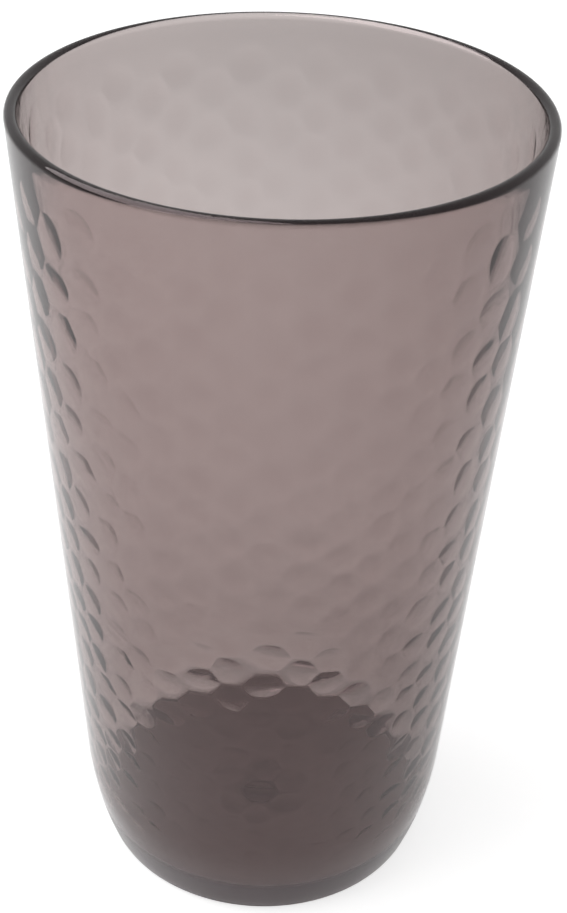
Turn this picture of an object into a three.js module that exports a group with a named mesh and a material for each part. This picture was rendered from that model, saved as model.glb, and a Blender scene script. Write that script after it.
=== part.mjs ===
// Handleless drinking tumbler of smoke-tinted plastic, smooth outside and hammered inside.
// Millimetres, +Z up: the foot stands on z = 0 and the tumbler is turned about the Z axis.
import * as THREE from 'three';

// Outside form
const HEIGHT = 162.5; // foot to the top of the lip
const RIM_RADIUS = 48; // widest point of the lip
const WALL_LEAN = 4.18; // degrees that the wall leans out from upright
const HEEL_HEIGHT = 21; // where the straight wall passes into the heel
const HEEL_RADIUS = 75; // long curve of the heel in profile
const FOOT_EDGE = 1.9; // rounding from the heel onto the foot

// Thickness
const LIP = 2.4; // wall at the lip, which is fully rounded
const CORE_DRAFT = 0.12; // extra lean of the inside, in degrees, so the wall thickens downward
const FLOOR_TOP = 7; // inside floor above the table
const FLOOR_FILLET = 2.5; // inside corner between wall and floor
const RECESS_DEPTH = 1; // hollow under the floor
const RECESS_SLOPE = 10; // gentle slope from the standing ring up into the hollow
const FOOT_RING = 3; // width of the flat ring that the tumbler stands on
const GATE_RADIUS = 3.2; // stub left by the moulding gate, in the middle of the hollow
const GATE_STUB = 0.6;

// Hammered pattern: staggered flat pebbles inside the wall, between its bottom corner and the smooth rim
const PEBBLES_AROUND = 20;
const PEBBLE_RISE = 0.3; // how far a pebble stands out of the wall
const PEBBLE_LOW = 6; // length of a pebble up the wall at the bottom of the pattern
const PEBBLE_HIGH = 10; // and at its top
const SMOOTH_CORNER = 2; // from the inside corner up to the first pebbles
const SMOOTH_RIM = 5; // from the top of the lip down to the last pebbles

// Each pebble takes five steps of a ring, so every ring has the same number of sides.
const STEPS_PER_PEBBLE = 5;
const SIDES = PEBBLES_AROUND * STEPS_PER_PEBBLE;
const BASE_ARC_DIVISIONS = 2;
const LIP_ARC_DIVISIONS = 4;

// Derived lines of the wall, tangent to the rounded lip
const lean = THREE.MathUtils.degToRad(WALL_LEAN);
const coreLean = THREE.MathUtils.degToRad(WALL_LEAN + CORE_DRAFT);
const lipRound = LIP / 2;
const lipCentre = new THREE.Vector2(RIM_RADIUS - lipRound, HEIGHT - lipRound);
const patternBottom = FLOOR_TOP + FLOOR_FILLET + SMOOTH_CORNER;
const patternTop = HEIGHT - SMOOTH_RIM;

const coneRadius = (z) =>
  lipCentre.x + lipRound / Math.cos(lean) + (z - lipCentre.y) * Math.tan(lean);
const innerRadius = (z) =>
  lipCentre.x - lipRound / Math.cos(coreLean) + (z - lipCentre.y) * Math.tan(coreLean);

// The heel is an arc tangent to the wall, and the foot edge a small arc tangent inside it.
const heelCentre = new THREE.Vector2(
  coneRadius(HEEL_HEIGHT) - HEEL_RADIUS * Math.cos(lean),
  HEEL_HEIGHT + HEEL_RADIUS * Math.sin(lean),
);
const edgeRise = heelCentre.y - FOOT_EDGE;
const footRadius = heelCentre.x + Math.sqrt((HEEL_RADIUS - FOOT_EDGE) ** 2 - edgeRise ** 2);
const heelEnd = Math.atan2(edgeRise, footRadius - heelCentre.x);
const recessRadius = footRadius - FOOT_RING;

const heelRadiusAt = (z) => heelCentre.x + Math.sqrt(HEEL_RADIUS ** 2 - (heelCentre.y - z) ** 2);
const outerRadius = (z) => (z < HEEL_HEIGHT ? heelRadiusAt(z) : coneRadius(z));

const smoke = new THREE.MeshStandardMaterial({
  color: 0x95868a,
  roughness: 0.08,
  metalness: 0,
  transparent: true,
  opacity: 0.55,
});

// A profile in (radius, height), turned about the Z axis
function revolve(path, divisions) {
  const points = path.getPoints(divisions);
  return new THREE.LatheGeometry(points, SIDES).rotateX(Math.PI / 2);
}

// Rounded drinking lip with the smooth band under it
function makeDrinkingRim() {
  const profile = new THREE.Path();
  profile.moveTo(innerRadius(patternTop), patternTop);
  profile.lineTo(outerRadius(patternTop), patternTop);
  profile.absarc(lipCentre.x, lipCentre.y, lipRound, -lean, Math.PI - coreLean, false);
  profile.lineTo(innerRadius(patternTop), patternTop);
  return revolve(profile, LIP_ARC_DIVISIONS);
}

// Floor, inside corner, heel, standing ring and the hollow under the floor
function makeBase() {
  const filletHeight = FLOOR_TOP + FLOOR_FILLET;
  const filletRadius = innerRadius(filletHeight) - FLOOR_FILLET / Math.cos(coreLean);
  const stubFoot = RECESS_DEPTH - GATE_STUB;
  const heelTop = Math.asin((heelCentre.y - patternBottom) / HEEL_RADIUS);
  const profile = new THREE.Path();
  profile.moveTo(0, stubFoot);
  profile.lineTo(GATE_RADIUS, stubFoot);
  profile.lineTo(GATE_RADIUS, RECESS_DEPTH);
  profile.lineTo(recessRadius - RECESS_SLOPE, RECESS_DEPTH);
  profile.lineTo(recessRadius, 0);
  profile.lineTo(footRadius, 0);
  profile.absarc(footRadius, FOOT_EDGE, FOOT_EDGE, -Math.PI / 2, -heelEnd, false);
  profile.absarc(heelCentre.x, heelCentre.y, HEEL_RADIUS, -heelEnd, -heelTop, false);
  profile.lineTo(innerRadius(patternBottom), patternBottom);
  profile.absarc(filletRadius, filletHeight, FLOOR_FILLET, -coreLean, -Math.PI / 2, true);
  profile.lineTo(0, FLOOR_TOP);
  return revolve(profile, BASE_ARC_DIVISIONS);
}

// Heights of the pattern's rings: two to a pebble, growing steadily from PEBBLE_LOW to PEBBLE_HIGH
function patternHeights() {
  const span = patternTop - patternBottom;
  const growth = 1 + (PEBBLE_HIGH - PEBBLE_LOW) / (2 * span);
  const pebbles = Math.round(Math.log(PEBBLE_HIGH / PEBBLE_LOW) / Math.log(growth) / 2);
  const rows = 2 * pebbles;
  const step = (PEBBLE_HIGH / PEBBLE_LOW) ** (1 / rows);
  const whole = step ** rows - 1;
  return Array.from({ length: rows + 1 }, (_, row) => patternBottom + (span * (step ** row - 1)) / whole);
}

// Wall with a smooth outside and the hammered pattern inside.
// A pebble takes five corners of a ring and stands out most at the middle one. Odd rings are turned by
// half a step and their pebbles by half a pebble, and the corners that stay level form the valleys.
function makeHammeredWall() {
  const positions = [];
  const rings = [];
  function addRing(height, radiusOfCorner, turn) {
    const first = positions.length / 3;
    for (let corner = 0; corner < SIDES; corner++) {
      const angle = ((corner + turn) * 2 * Math.PI) / SIDES;
      const radius = radiusOfCorner(corner);
      positions.push(radius * Math.sin(angle), -radius * Math.cos(angle), height);
    }
    rings.push({ first, turn });
  }

  const heelRise = HEEL_HEIGHT - patternBottom;
  const outsideHeights = [0, 1 / 3, 2 / 3, 1].map((share) => patternBottom + share * heelRise);
  outsideHeights.push(patternTop);
  outsideHeights.forEach((height) => addRing(height, () => outerRadius(height), 0));

  const middle = (STEPS_PER_PEBBLE - 1) / 2;
  const insideHeights = patternHeights().reverse();
  insideHeights.forEach((height, row) => {
    const odd = row % 2;
    const atEdge = row === 0 || row === insideHeights.length - 1;
    function radiusOfCorner(corner) {
      if (atEdge) return innerRadius(height);
      const place = (corner + (odd ? 0 : middle)) % STEPS_PER_PEBBLE;
      return innerRadius(height) - PEBBLE_RISE * (1 - Math.abs(place - middle) / middle);
    }
    addRing(height, radiusOfCorner, odd / 2);
  });

  const triangles = [];
  rings.forEach((ring, index) => {
    const next = rings[(index + 1) % rings.length];
    for (let corner = 0; corner < SIDES; corner++) {
      const following = (corner + 1) % SIDES;
      const [a, b] = [ring.first + corner, ring.first + following];
      const [c, d] = [next.first + corner, next.first + following];
      if (ring.turn > next.turn) triangles.push(a, d, c, a, b, d);
      else triangles.push(a, b, c, c, b, d);
    }
  });

  const geometry = new THREE.BufferGeometry();
  geometry.setAttribute('position', new THREE.Float32BufferAttribute(positions, 3));
  geometry.setIndex(triangles);
  geometry.computeVertexNormals();
  return geometry;
}

const tumbler = new THREE.Group();

function addPiece(name, geometry) {
  const piece = new THREE.Mesh(geometry, smoke);
  piece.name = name;
  tumbler.add(piece);
}

addPiece('base', makeBase());
addPiece('hammered_wall', makeHammeredWall());
addPiece('drinking_rim', makeDrinkingRim());

export default tumbler;
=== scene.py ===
# %% [markdown]
# # A hammered tumbler
# The object is a tall drinking tumbler without a handle, moulded in one shot from clear plastic with a
# smoky mauve tint. Its outside is smooth, its inside is covered with flat pebbles, its lip is round and
# its base is thick. The imported CAD model gives the frame: the foot stands on z = 0 and the tumbler is
# turned about the Z axis. We load it first. The finished skin has to stay inside that box.

import math

import bpy
import numpy as np
from mathutils import Matrix, Vector


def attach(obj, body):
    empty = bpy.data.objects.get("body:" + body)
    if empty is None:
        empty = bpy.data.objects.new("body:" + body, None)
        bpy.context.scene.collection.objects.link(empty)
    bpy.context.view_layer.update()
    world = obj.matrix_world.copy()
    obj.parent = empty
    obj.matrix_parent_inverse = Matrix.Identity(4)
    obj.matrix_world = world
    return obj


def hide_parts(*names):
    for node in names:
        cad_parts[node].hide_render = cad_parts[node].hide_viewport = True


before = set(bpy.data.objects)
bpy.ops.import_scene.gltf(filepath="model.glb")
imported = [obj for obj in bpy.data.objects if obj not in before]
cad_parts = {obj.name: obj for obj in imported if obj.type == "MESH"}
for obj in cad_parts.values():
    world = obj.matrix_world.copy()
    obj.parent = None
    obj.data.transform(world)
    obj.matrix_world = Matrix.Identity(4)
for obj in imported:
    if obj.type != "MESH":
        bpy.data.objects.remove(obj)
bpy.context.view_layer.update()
print("CAD nodes", sorted(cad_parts))

# %% [markdown]
# ## The moulding's lines
# A moulding like this is drawn as half a section and turned. The wall is a cone that leans out by about
# four degrees, the lip is a full round, the heel is one long arc tangent to the wall, and the foot is a
# narrow flat ring round a hollow. An outline drawn point by point would give a lumpy wall, so each line
# is worked out from a few sizes in millimetres. They are the ones of the CAD part, so both models agree.

# %% Sizes in millimetres
HEIGHT = 162.5
RIM_RADIUS = 48.0
WALL_LEAN = math.radians(4.18)
CORE_LEAN = math.radians(4.18 + 0.12)
LIP_ROUND = 1.2
HEEL_HEIGHT = 21.0
HEEL_RADIUS = 75.0
FOOT_EDGE = 1.9
FOOT_RING = 3.0
FLOOR_TOP = 7.0
FLOOR_FILLET = 2.5
RECESS_DEPTH = 1.0
RECESS_SLOPE = 10.0
GATE_RADIUS = 3.2
GATE_STUB = 0.6
SMOOTH_CORNER = 2.0
SMOOTH_RIM = 5.0
MM = 0.001
print("height", HEIGHT, "mm and rim", 2 * RIM_RADIUS, "mm across")

# %% Lines that follow from the sizes
lip_r = RIM_RADIUS - LIP_ROUND
lip_z = HEIGHT - LIP_ROUND


def cone(z):
    """Outside of the wall: the lip's tangent, leaning out by WALL_LEAN."""
    return lip_r + LIP_ROUND / math.cos(WALL_LEAN) + (z - lip_z) * math.tan(WALL_LEAN)


def core(z):
    """Inside of the wall: the lip's other tangent, leaning a little more, so the wall thickens downward."""
    return lip_r - LIP_ROUND / math.cos(CORE_LEAN) + (z - lip_z) * math.tan(CORE_LEAN)


heel_r = cone(HEEL_HEIGHT) - HEEL_RADIUS * math.cos(WALL_LEAN)
heel_z = HEEL_HEIGHT + HEEL_RADIUS * math.sin(WALL_LEAN)
foot_r = heel_r + math.sqrt((HEEL_RADIUS - FOOT_EDGE) ** 2 - (heel_z - FOOT_EDGE) ** 2)
heel_end = math.atan2(heel_z - FOOT_EDGE, foot_r - heel_r)
recess_r = foot_r - FOOT_RING
pattern_bottom = FLOOR_TOP + FLOOR_FILLET + SMOOTH_CORNER
pattern_top = HEIGHT - SMOOTH_RIM
half_way = HEIGHT / 2
wall_thickness = cone(half_way) - core(half_way)
print("foot radius", round(foot_r, 2), "mm, wall at half height", round(wall_thickness, 2), "mm")

# %% [markdown]
# ## The pebbles inside the wall
# The outline of the real tumbler is a clean line, so its outside is smooth. The hammered look comes from
# inside: flat pebbles stand out of the wall, side by side like a honeycomb, each a little different in
# place, size and turn. They show as dark slivers where the wall turns away from us. A height map on an
# even grid would saw their edges into steps, and a bump map wouldn't bend the view through them. So the
# mesh follows the pattern: we shake the middles of a staggered lattice, take the middle of each three
# neighbours as a corner, and get six-sided cells, one for each pebble. The first and the last row keep
# their places, so the pattern ends in an even zigzag.

# %% Middles of the pebbles
AROUND = 20
ROWS = 38
PEBBLE_LOW = 6.0
PEBBLE_HIGH = 10.0
SLOPE_LOW = 5.3
SLOPE_HIGH = 3.1
SLOPE_SPREAD = 0.22
SHIFT_AROUND = 0.12
SHIFT_UP = 0.16
TURN = 2 * math.pi / AROUND

rows = np.arange(-1, ROWS + 2)
odd = rows % 2
growth = (PEBBLE_HIGH / PEBBLE_LOW) ** (1 / ROWS)
row_z = pattern_bottom + (pattern_top - pattern_bottom) * (growth**rows - 1) / (growth**ROWS - 1)
row_pitch = PEBBLE_LOW * growth**rows
slope_per_mm = (SLOPE_HIGH - SLOPE_LOW) / (PEBBLE_HIGH - PEBBLE_LOW)
row_slope = np.radians(SLOPE_LOW + slope_per_mm * (row_pitch - PEBBLE_LOW))
shake = np.random.default_rng(11)
places = (len(rows), AROUND)
loose_rows = ((rows > 1) & (rows < ROWS - 1))[:, None]
pebble_a = TURN * (np.arange(AROUND) + 0.5 * odd[:, None])
pebble_a = pebble_a + loose_rows * TURN * SHIFT_AROUND * shake.uniform(-1, 1, places)
pebble_z = row_z[:, None] + loose_rows * row_pitch[:, None] * SHIFT_UP * shake.uniform(-1, 1, places)
pebble_slope = row_slope[:, None] * (1 + SLOPE_SPREAD * shake.uniform(-1, 1, places))
print(f"{(ROWS - 1) * AROUND} pebbles, {row_pitch[1]:.1f} to {row_pitch[-2]:.1f} mm tall")

# %% Corners of the cells
right_of = (np.arange(AROUND) + odd[:, None]) % AROUND
left_of = (right_of - 1) % AROUND


def wrap(angle):
    """The same turn, written between minus and plus half a circle."""
    return (angle + math.pi) % (2 * math.pi) - math.pi


def corners(beside):
    """Middle of a pebble, the pebble two rows above it and the one beside them in the row between."""
    low_a = pebble_a[:-2]
    low_z = pebble_z[:-2]
    side_a = np.take_along_axis(pebble_a[1:-1], beside[:-2], 1)
    side_z = np.take_along_axis(pebble_z[1:-1], beside[:-2], 1)
    a = low_a + (wrap(pebble_a[2:] - low_a) + wrap(side_a - low_a)) / 3
    z = (low_z + pebble_z[2:] + side_z) / 3
    return np.stack([a, z], -1)


right_corner = corners(right_of)
left_corner = corners(left_of)
cell = np.arange(2, ROWS + 1)
cell_corners = np.stack(
    [
        np.take_along_axis(left_corner[cell - 1], right_of[cell][..., None], 1),
        right_corner[cell],
        left_corner[cell],
        np.take_along_axis(right_corner[cell - 1], left_of[cell][..., None], 1),
        left_corner[cell - 2],
        right_corner[cell - 2],
    ],
    2,
)
print("rows, cells to a row, corners and coordinates", cell_corners.shape)

# %% [markdown]
# Each cell is now a surface of two parameters: one runs round it, the other from its border to its
# middle. A pebble is an oval with a round crown and a crisp edge, so we fit an oval into the cell, turned
# by a small angle of its own. The rings of the mesh are ovals of that shape, and the rise is one number
# per ring. The border stays on the plain wall, so neighbours meet without a step. All cells are worked
# out in one go.

# %% Borders of the cells
EDGE_STEPS = 4

along = np.arange(EDGE_STEPS) / EDGE_STEPS
edge_run = np.roll(cell_corners, -1, 2) - cell_corners
edge_run[..., 0] = wrap(edge_run[..., 0])
edges = cell_corners[..., None, :] + along[:, None] * edge_run[..., None, :]

n_cells = len(cell) * AROUND
n_border = 6 * EDGE_STEPS
border_a = edges[..., 0].reshape(n_cells, 1, n_border)
border_z = edges[..., 1].reshape(n_cells, 1, n_border)
middle_a = pebble_a[cell].reshape(n_cells, 1, 1)
middle_z = pebble_z[cell].reshape(n_cells, 1, 1)
print(n_cells, "cells with", n_border, "points on each border")

# %% Ovals that fit the cells
OVAL_TURN = math.radians(30)
OVAL_STRETCH = 0.2
OVAL_FILL = 0.84
FILL_LEAST = 0.6
FILL_MOST = 0.97

lean = OVAL_TURN * shake.uniform(-1, 1, (n_cells, 1, 1))
stretch = 1 + OVAL_STRETCH * shake.uniform(-1, 1, (n_cells, 1, 1))
sideways = wrap(border_a - middle_a) * core(middle_z)
upward = border_z - middle_z
wide = TURN / 3 * core(middle_z)
tall = np.repeat(row_pitch[cell] / 2, AROUND).reshape(n_cells, 1, 1)
oval = np.hypot(
    (sideways * np.cos(lean) + upward * np.sin(lean)) / (wide * stretch),
    (upward * np.cos(lean) - sideways * np.sin(lean)) * stretch / tall,
)
fit = np.clip(OVAL_FILL * oval.mean(2, keepdims=True) / oval, FILL_LEAST, FILL_MOST)
slope = pebble_slope[cell].reshape(n_cells, 1, 1)
height = np.tan(slope) / 2 * np.sqrt(wide * tall)
print("the ovals fill", f"{fit.mean():.2f}", "of the way to the borders")
print(f"and stand {height.min():.2f} to {height.max():.2f} mm out of the wall")

# %% Crowns of the pebbles
OVAL_RINGS = np.array([1, 0.93, 0.64, 0.32])


def to_xyz(a, r, z):
    """Turn an angle, radius and height into a point; angle 0 faces the front, minus Y."""
    return np.stack(np.broadcast_arrays(r * np.sin(a), -r * np.cos(a), z), -1)


def crown(rho):
    """Rise across an oval: one minus rho squared, so the slope grows evenly up to a crisp edge."""
    return 1 - rho**2


share = np.concatenate([np.ones_like(fit), OVAL_RINGS[:, None] * fit], 1)
rise_of_ring = np.concatenate([[0.0], crown(OVAL_RINGS)])[:, None]
ring_a = middle_a + share * wrap(border_a - middle_a)
ring_z = middle_z + share * (border_z - middle_z)
ring_points = to_xyz(ring_a, core(ring_z) - height * rise_of_ring, ring_z)
top_points = to_xyz(middle_a, core(middle_z) - height, middle_z)
wall_points = np.concatenate([ring_points.reshape(-1, 3), top_points.reshape(-1, 3)])
print(len(wall_points), "points in the hammered wall")

# %% Faces of the pebbles


def band(first, rings, around):
    """Quads between rings of a closed grid, numbered ring by ring, facing away from the axis."""
    ring = np.arange(rings - 1)[:, None] * around
    step = np.arange(around)
    after = (step + 1) % around
    quad = np.stack([ring + step, ring + after, ring + around + after, ring + around + step], -1)
    return first + quad.reshape(-1, 4)


def fan(tip, first, around, flip):
    """Triangles from a ring to one point, which closes a pole."""
    step = np.arange(around)
    after = (step + 1) % around
    ends = (after, step) if flip else (step, after)
    return np.stack([first + ends[0], first + ends[1], np.full(around, tip)], -1)


n_rings = len(OVAL_RINGS) + 1
per_cell = n_rings * n_border
cell_first = np.arange(n_cells)[:, None, None] * per_cell
pebble_quads = (cell_first + band(0, n_rings, n_border)).reshape(-1, 4)[:, ::-1]
smallest_ring = fan(0, (n_rings - 1) * n_border, n_border, True)
pebble_tris = np.repeat(smallest_ring[None], n_cells, 0) + cell_first
pebble_tris[..., 2] = n_cells * per_cell + np.arange(n_cells)[:, None]
print(len(pebble_quads), "quads in the hammered wall")

# %% [markdown]
# ## Base, outside, lip and floor
# The rest of the moulding is plain turned work: half a section carried round the axis, as a Screw
# modifier would do. Here it has to meet the hammered wall along the zigzag of its first and last cells,
# so the rings take their angles from that zigzag and no gap is left. One closed skin is made, and not
# three pieces, because inner walls would show in clear plastic.

# %% Zigzag borders of the pattern


def backward(row, side):
    """An edge's points from its far corner to just before its near one."""
    far_corner = np.roll(cell_corners, -1, 2)[row, :, side][:, None]
    return np.concatenate([far_corner, edges[row, :, side, :0:-1]], 1)


beside_first = right_of[2]
zig_low = [edges[0, :, 3], edges[0, :, 4], edges[0, :, 5], edges[1, beside_first, 4]]
low_border = np.concatenate(zig_low, 1).reshape(-1, 2)
beside_last = right_of[ROWS]
zig_high = [backward(-1, 2), backward(-1, 1), backward(-1, 0), backward(-2, 1)[beside_last]]
high_border = np.concatenate(zig_high, 1).reshape(-1, 2)
columns = len(low_border)
print(columns, "columns meet the pattern below, and", len(high_border), "above")

# %% Section of the outside, from the axis under the floor, up the wall and over the lip to the pattern
QUARTER = math.pi / 2
STUB_EDGE = 1.0
HOLLOW_RING = 10.0
RING_UNDER_LIP = 1.2
wall_heights = np.array([65.0, 110.0])


def arc(r, z, radius, start, stop, count):
    """Points of an arc about (r, z), angles in radians from the outward direction."""
    angle = np.linspace(start, stop, count)
    return np.stack([r + radius * np.cos(angle), z + radius * np.sin(angle)], 1)


stub_z = RECESS_DEPTH - GATE_STUB
last_z = pattern_top + RING_UNDER_LIP
slope_t = np.linspace(0, 1, 6)
smooth_t = slope_t**2 * (3 - 2 * slope_t)
stub_side = np.stack([GATE_RADIUS + STUB_EDGE * (2 * slope_t - 1), stub_z + GATE_STUB * smooth_t], 1)
hollow_side = np.stack([recess_r - RECESS_SLOPE * slope_t, RECESS_DEPTH * smooth_t], 1)[::-1]
outer_section = np.concatenate(
    [
        [[0, stub_z]],
        stub_side,
        [[HOLLOW_RING, RECESS_DEPTH]],
        hollow_side,
        arc(foot_r, FOOT_EDGE, FOOT_EDGE, -QUARTER, -heel_end, 6),
        arc(heel_r, heel_z, HEEL_RADIUS, -heel_end, -WALL_LEAN, 10)[1:],
        np.stack([cone(wall_heights), wall_heights], 1),
        arc(lip_r, lip_z, LIP_ROUND, -WALL_LEAN, math.pi - CORE_LEAN, 12),
        [[core(last_z), last_z]],
    ]
)
print(len(outer_section), "rings from the foot over the lip")

# %% Section of the inside corner and the floor, from the pattern to the axis
FLOOR_RING_WIDE = 18.0
FLOOR_RING_NARROW = 6.0

fillet_z = FLOOR_TOP + FLOOR_FILLET
fillet_r = core(fillet_z) - FLOOR_FILLET / math.cos(CORE_LEAN)
floor_section = np.concatenate(
    [
        arc(fillet_r, fillet_z, FLOOR_FILLET, -CORE_LEAN, -QUARTER, 9),
        [[FLOOR_RING_WIDE, FLOOR_TOP], [FLOOR_RING_NARROW, FLOOR_TOP], [0, FLOOR_TOP]],
    ]
)
print(len(floor_section), "rings in the corner and the floor")

# %% Rings of the turned work


def turned(section, angles):
    """A half section carried round the axis: one ring of points for each of its points."""
    return to_xyz(angles[None], section[:, :1], section[:, 1:]).reshape(-1, 3)


def zigzag(border):
    """Points of a border of the pattern, on the plain inside of the wall."""
    return to_xyz(border[:, 0], core(border[:, 1]), border[:, 1])


outer_rings = np.concatenate([turned(outer_section[1:], high_border[:, 0]), zigzag(high_border)])
outer_tip = [[0, 0, outer_section[0, 1]]]
floor_rings = np.concatenate([zigzag(low_border), turned(floor_section[:-1], low_border[:, 0])])
floor_tip = [[0, 0, floor_section[-1, 1]]]
points = np.concatenate([wall_points, outer_rings, outer_tip, floor_rings, floor_tip])
print(len(points), "points in all")

# %% One closed skin
SAME_DIGITS = 5

outer_first = len(wall_points)
outer_end = outer_first + len(outer_rings)
floor_first = outer_end + 1
last_ring = floor_first + (len(floor_section) - 1) * columns
quads = [
    pebble_quads,
    band(outer_first, len(outer_section), columns),
    band(floor_first, len(floor_section), columns),
]
tris = [
    pebble_tris.reshape(-1, 3),
    fan(outer_end, outer_first, columns, True),
    fan(len(points) - 1, last_ring, columns, False),
]
_, keep, merged = np.unique(np.round(points, SAME_DIGITS), axis=0, return_index=True, return_inverse=True)
merged = merged.reshape(-1)
quads = merged[np.concatenate(quads)]
tris = merged[np.concatenate(tris)]
skin_points = points[keep] * MM
print(len(skin_points), "points after the shared ones are joined")

# %% Put the skin into a mesh


def make_piece(name, verts, faces):
    """A mesh object at the origin, smooth all over."""
    mesh = bpy.data.meshes.new(name)
    mesh.from_pydata(verts.tolist(), [], faces)
    mesh.polygons.foreach_set("use_smooth", np.ones(len(mesh.polygons), bool))
    mesh.update()
    piece = bpy.data.objects.new(name, mesh)
    bpy.context.scene.collection.objects.link(piece)
    return piece


tumbler = make_piece("tumbler", skin_points, quads.tolist() + tris.tolist())
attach(tumbler, "root")
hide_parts("base", "hammered_wall", "drinking_rim")
sides = np.concatenate([np.roll(f, -s, 1)[:, :2] for f in (quads, tris) for s in range(f.shape[1])])
_, uses = np.unique(np.sort(sides, 1), axis=0, return_counts=True)
turned_over = len(sides) - len(np.unique(sides, axis=0))
print("triangles", 2 * len(quads) + len(tris))
print("open edges", int((uses != 2).sum()), "and edges with faces turned over", turned_over)

# %% [markdown]
# ## Shader arithmetic
# Node trees are easier to read as sums than as boxes and cables. This small class holds one socket, and
# adding or multiplying two of them adds the Math node for it. Its method add makes any other node, and
# fade makes the node that we need most: a mask that changes from one level to another over a stretch.

# %% A wire between nodes


class Wire:
    """One output socket. Sums and products of wires and numbers add Math nodes."""

    def __init__(self, socket):
        self.socket = socket
        self.tree = socket.id_data

    @staticmethod
    def add(tree, kind, settings=None, inputs=None, out=0):
        """Adds a node: its settings first, then a number or a wire for each input."""
        node = tree.nodes.new(kind)
        for name, value in (settings or {}).items():
            setattr(node, name, value)
        for name, value in (inputs or {}).items():
            if isinstance(value, Wire):
                tree.links.new(value.socket, node.inputs[name])
            else:
                node.inputs[name].default_value = value
        return Wire(node.outputs[out]) if node.outputs else node

    def math(self, operation, first, second):
        """Adds a Math node for two values, of which one at least is a wire."""
        return Wire.add(self.tree, "ShaderNodeMath", {"operation": operation}, {0: first, 1: second})

    def __add__(self, other):
        return self.math("ADD", self, other)

    def __sub__(self, other):
        return self.math("SUBTRACT", self, other)

    def __rsub__(self, other):
        return self.math("SUBTRACT", other, self)

    def __mul__(self, other):
        return self.math("MULTIPLY", self, other)

    __radd__ = __add__
    __rmul__ = __mul__


def new_tree(owner):
    """An empty node tree of a material or a world."""
    owner.use_nodes = True
    owner.node_tree.nodes.clear()
    return owner.node_tree


def fade(value, start, stop, before=1.0, after=0.0):
    """A Map Range: one level up to start, another from stop on, and an even change between them."""
    ends = {"Value": value, "From Min": start, "From Max": stop, "To Min": before, "To Max": after}
    return Wire.add(value.tree, "ShaderNodeMapRange", inputs=ends)


print("node arithmetic is ready:", Wire.__name__, new_tree.__name__, fade.__name__)

# %% [markdown]
# ## Smoke-tinted plastic
# The tint is in the plastic and not on it, so the thick base is darker than the wall. A tinted Base Color
# would colour every surface alike, but a Volume Absorption of one constant strength makes thick places
# darker by itself. The surface is glossy and clear. What varies is small: faint clouds in the tint, a
# haze from handling, a slight waviness from the mould, and scuffs on the heel and the ring that it stands
# on. Only the underside gets a darker Base Color: a mottled painted shade under the foot, where the
# tumbler stands in its own shadow, and a darker spot at the gate scar.

# %% Places and noises on the plastic
smoke_plastic = bpy.data.materials.new("smoke_plastic")
plastic = new_tree(smoke_plastic)


def noise(place, scale, detail):
    """Layered noise: scale is about the lumps to a metre, detail the number of finer layers."""
    settings = {"Vector": place, "Scale": scale, "Detail": detail}
    return Wire.add(plastic, "ShaderNodeTexNoise", inputs=settings)


place = Wire.add(plastic, "ShaderNodeTexCoord", out="Object")
rise = Wire.add(plastic, "ShaderNodeSeparateXYZ", inputs={0: place}, out="Z")
flat = Wire.add(plastic, "ShaderNodeVectorMath", {"operation": "MULTIPLY"}, {0: place, 1: (1.0, 1.0, 0.0)})
out_from_axis = Wire.add(plastic, "ShaderNodeVectorMath", {"operation": "LENGTH"}, {0: flat}, out="Value")
clouds = noise(place, scale=32.0, detail=3.0)
haze = noise(place, scale=140.0, detail=5.0)
peel = noise(place, scale=110.0, detail=1.0)
print("noises for clouds, haze and waviness are ready")

# %% Where it is worn, and where shade is painted under the foot
HEEL_LEAN = 0.3
UNDERSIDE_TOP = (1.1 * MM, 1.3 * MM)
FLANK_START = (32.3 * MM, 33.0 * MM)
WEAR_TOP = (9.0 * MM, 12.0 * MM)
SCAR_REACH = (1.0 * MM, 9.5 * MM)

underside = fade(rise, *UNDERSIDE_TOP)
outer_side = fade(out_from_axis - HEEL_LEAN * rise, *FLANK_START, before=0.0, after=1.0)
heel_wear = outer_side * fade(rise, *WEAR_TOP)
gate_scar = fade(out_from_axis, *SCAR_REACH)
print("masks for the underside, the heel and the gate scar are ready")

# %% Colour with painted shade under the foot, roughness and waviness
POLISH = 0.012
HANDLED = 0.03
SCUFFED = 0.22
GRAINED = 0.5
GRAIN_SPREAD = 0.2
# Painted shade under the foot: how far the haze noise darkens the underside.
PAINTED_UNDER_SHADE = 0.3
SCAR = 0.95
DULL_TINT = (0.955, 0.95, 0.95, 1.0)
CLEAR_TINT = (1.0, 0.995, 0.985, 1.0)
# Colour of the painted shade under the foot and of the darker gate scar.
UNDER_SHADE_AND_SCAR = (0.15, 0.13, 0.13, 1.0)


def mix_colours(share, first, second):
    """A Mix node: first where the share is 0, second where it is 1. Its sockets 6 and 7 take colours."""
    return Wire.add(plastic, "ShaderNodeMix", {"data_type": "RGBA"}, {0: share, 6: first, 7: second}, out=2)


grain = underside * (GRAINED + GRAIN_SPREAD * haze)
roughness = POLISH + HANDLED * clouds * haze + SCUFFED * heel_wear + grain
tint = mix_colours(clouds, DULL_TINT, CLEAR_TINT)
# The underside is painted darker: a mottled painted shade under the foot, and a darker spot at the gate
# scar.
colour = mix_colours(underside * (PAINTED_UNDER_SHADE * haze + SCAR * gate_scar), tint, UNDER_SHADE_AND_SCAR)
waviness = {"Strength": 0.25, "Distance": 0.2 * MM, "Height": peel}
normal = Wire.add(plastic, "ShaderNodeBump", inputs=waviness)
print("roughness runs from", POLISH, "on the wall to about", GRAINED, "under the foot")

# %% Clear surface, scuffs and tinted inside
IOR = 1.5
SCUFF_COLOUR = (0.125, 0.075, 0.090, 1.0)
SCUFF_LEAST = 0.2
SCUFF_SPREAD = 0.2
ABSORB = np.array([0.200, 0.248, 0.254]) / MM
HEADROOM = 1.02

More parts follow.
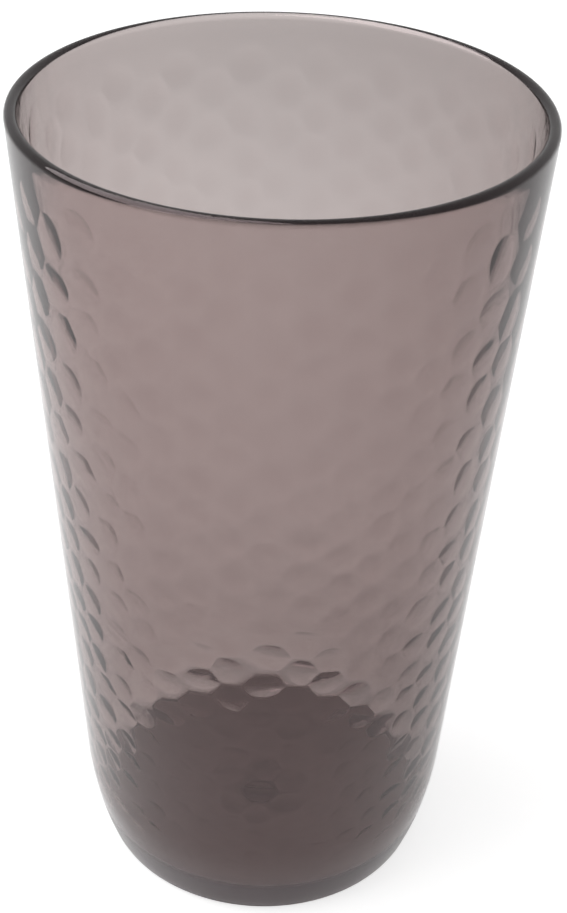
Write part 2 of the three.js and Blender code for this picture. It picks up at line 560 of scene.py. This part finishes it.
clear_inputs = {
    "Base Color": colour,
    "Roughness": roughness,
    "Normal": normal,
    "IOR": IOR,
    "Transmission Weight": 1.0,
    "Specular Tint": (1.0, 0.80, 0.82, 1.0),
}
clear = Wire.add(plastic, "ShaderNodeBsdfPrincipled", inputs=clear_inputs)
scuff_inputs = {"Base Color": SCUFF_COLOUR, "Roughness": roughness, "IOR": IOR}
scuffs = Wire.add(plastic, "ShaderNodeBsdfPrincipled", inputs=scuff_inputs)
worn = {0: heel_wear * (SCUFF_LEAST + SCUFF_SPREAD * haze), 1: clear, 2: scuffs}
surface = Wire.add(plastic, "ShaderNodeMixShader", inputs=worn)
density = float(ABSORB.max() * HEADROOM)
passes = (*(1 - ABSORB / density).tolist(), 1.0)
inside = Wire.add(plastic, "ShaderNodeVolumeAbsorption", inputs={"Color": passes, "Density": density})
Wire.add(plastic, "ShaderNodeOutputMaterial", inputs={"Surface": surface, "Volume": inside})
tumbler.data.materials.append(smoke_plastic)
print("absorption per metre", ABSORB.tolist())

# %% [markdown]
# ## Floor, light and camera
# The tumbler stands on a plain pale floor under soft light, with a large lamp over its left. More lamps
# would whiten the floor, but they would whiten the tumbler too. So to the camera the floor is lifted to
# white, as in a cut-out picture, and glass and gloss see a part of that lift, while the floor still takes
# the tumbler's shadow. The part that glass sees is painted light and shade: a painted pool of light near
# the tumbler, brighter still on the lamp's left side, and a painted shadow round its foot. The lift adds
# no light to the object, because it is for those rays alone.

# %% Floor
FLOOR_REACH = 4.0
FLOOR_GAP = 0.05 * MM
CAMERA_LIFT = 0.70
GLOSS_LIFT = 0.60
GLASS_LIFT = 0.325
# Painted light and shade on the floor seen through the plastic: a painted pool of light near the tumbler, a
# painted shadow round its foot, and painted lamp light on the left.
PAINTED_LIGHT_REACH = (0.22, 0.60)
SHADE_REACH = (0.05, 0.28)
PAINTED_LAMP_REACH = (-0.2, 0.2)
FLOOR_GREY = (0.5, 0.5, 0.5, 1.0)


def ray_kinds(tree):
    """Masks of rays from the camera, from gloss and out of clear plastic; the last count as glossy too."""
    to_camera = Wire.add(tree, "ShaderNodeLightPath", out="Is Camera Ray")
    path = to_camera.socket.node
    to_glass = Wire(path.outputs["Is Transmission Ray"])
    to_gloss = Wire(path.outputs["Is Glossy Ray"]) * (1 - to_glass)
    return to_camera, to_gloss, to_glass


floor_corners = np.array([[-1, -1, 0], [1, -1, 0], [1, 1, 0], [-1, 1, 0]]) * FLOOR_REACH
floor_corners[:, 2] = -FLOOR_GAP
floor = make_piece("floor", floor_corners, [[0, 1, 2, 3]])
pale_floor = bpy.data.materials.new("pale_floor")
ground = new_tree(pale_floor)
to_camera, to_gloss, to_glass = ray_kinds(ground)
spot = Wire.add(ground, "ShaderNodeTexCoord", out="Object")
spot_x = Wire.add(ground, "ShaderNodeSeparateXYZ", inputs={0: spot}, out="X")
far = Wire.add(ground, "ShaderNodeVectorMath", {"operation": "LENGTH"}, {0: spot}, out="Value")
# Seen through the plastic, the floor glows with painted light near the tumbler and on the left, and a
# painted shadow darkens it round the foot.
painted_light_near = fade(far, *PAINTED_LIGHT_REACH, before=1.0, after=0.25)
foot_shade = fade(far, *SHADE_REACH, before=0.7, after=1.06)
painted_lamp_side = fade(spot_x, *PAINTED_LAMP_REACH, before=1.55, after=0.65)
seen_through = GLASS_LIFT * painted_light_near * foot_shade * painted_lamp_side
lift = CAMERA_LIFT * to_camera + GLOSS_LIFT * to_gloss + seen_through * to_glass
matt = Wire.add(ground, "ShaderNodeBsdfDiffuse", inputs={"Color": FLOOR_GREY})
glow = Wire.add(ground, "ShaderNodeEmission", inputs={"Color": lift})
both = Wire.add(ground, "ShaderNodeAddShader", inputs={0: matt, 1: glow})
Wire.add(ground, "ShaderNodeOutputMaterial", inputs={"Surface": both})
floor.data.materials.append(pale_floor)
print("floor", 2 * FLOOR_REACH, "m wide")

# %% Light
ROOM = 0.62
CLEAR_ROOM = 0.08
LAMP_PLACE = Vector((-0.30, 0.0, 0.55))
LAMP_AIM = Vector((-0.02, 0.1, 0.0))
LAMP_SIZE = 0.6
LAMP_WATTS = 3.8
WHITE = (1.0, 1.0, 1.0, 1.0)

world = bpy.data.worlds.new("soft_room")
bpy.context.scene.world = world
sky = new_tree(world)
to_camera, to_gloss, to_glass = ray_kinds(sky)
brightness = ROOM + (1 - ROOM) * to_camera + CLEAR_ROOM * (to_gloss + to_glass)
room = Wire.add(sky, "ShaderNodeBackground", inputs={"Color": WHITE, "Strength": brightness})
Wire.add(sky, "ShaderNodeOutputWorld", inputs={"Surface": room})
softbox = bpy.data.lights.new("softbox_left", "AREA")
softbox.size = LAMP_SIZE
softbox.energy = LAMP_WATTS
holder = bpy.data.objects.new("softbox_left", softbox)
bpy.context.scene.collection.objects.link(holder)
facing = (LAMP_AIM - LAMP_PLACE).to_track_quat("-Z", "Y")
holder.matrix_world = Matrix.Translation(LAMP_PLACE) @ facing.to_matrix().to_4x4()
print("room", ROOM, "and lamp", holder.name, round(softbox.energy, 2), "W")

# %% [markdown]
# The camera looks down on the tumbler from the front, a little rolled, as in the photograph. Its distance
# and its aim are counted in rim radii, because the view shows shares and not sizes.

# %% Camera
FRAME_TALL = 913
FOCAL_PIXELS = 1786.45
SENSOR = 36.0
TILT = math.radians(32.8998)
ROLL = math.radians(2.0585)
AWAY = 7.25
AIM_ACROSS = 0.0462
AIM_UP = 1.8705
NEAREST = 0.01

away = AWAY * RIM_RADIUS
aim = Vector((AIM_ACROSS * RIM_RADIUS, 0, AIM_UP * RIM_RADIUS))
eye = Vector((0, -math.cos(TILT) * away, math.sin(TILT) * away + aim.z))
ahead = (aim - eye).normalized()
level_right = ahead.cross(Vector((0, 0, 1))).normalized()
level_up = level_right.cross(ahead)
frame_right = level_right * math.cos(ROLL) + level_up * math.sin(ROLL)
frame_up = level_up * math.cos(ROLL) - level_right * math.sin(ROLL)
camera_data = bpy.data.cameras.new("photo_camera")
camera_data.sensor_width = SENSOR
camera_data.lens = FOCAL_PIXELS / FRAME_TALL * SENSOR
camera_data.clip_start = NEAREST
camera = bpy.data.objects.new("photo_camera", camera_data)
bpy.context.scene.collection.objects.link(camera)
pose = Matrix((frame_right, frame_up, -ahead)).transposed().to_4x4()
pose.translation = eye * MM
camera.matrix_world = pose
bpy.context.scene.camera = camera
bpy.context.scene.view_settings.view_transform = "Standard"
print("camera lens", round(camera_data.lens, 2), "mm")

# %% [markdown]
# ## Depth of clear plastic
# A ray that looks through the tumbler crosses four surfaces at least, and inside the wall it may bounce
# many times before it leaves. With the usual limit such rays end in black, so the limits are raised here.

# %% Ray depth
BOUNCES = 24

cycles = bpy.context.scene.cycles
cycles.max_bounces = BOUNCES
cycles.transmission_bounces = BOUNCES
cycles.glossy_bounces = BOUNCES // 2
print("bounces", cycles.max_bounces, "in all and", cycles.glossy_bounces, "off gloss")
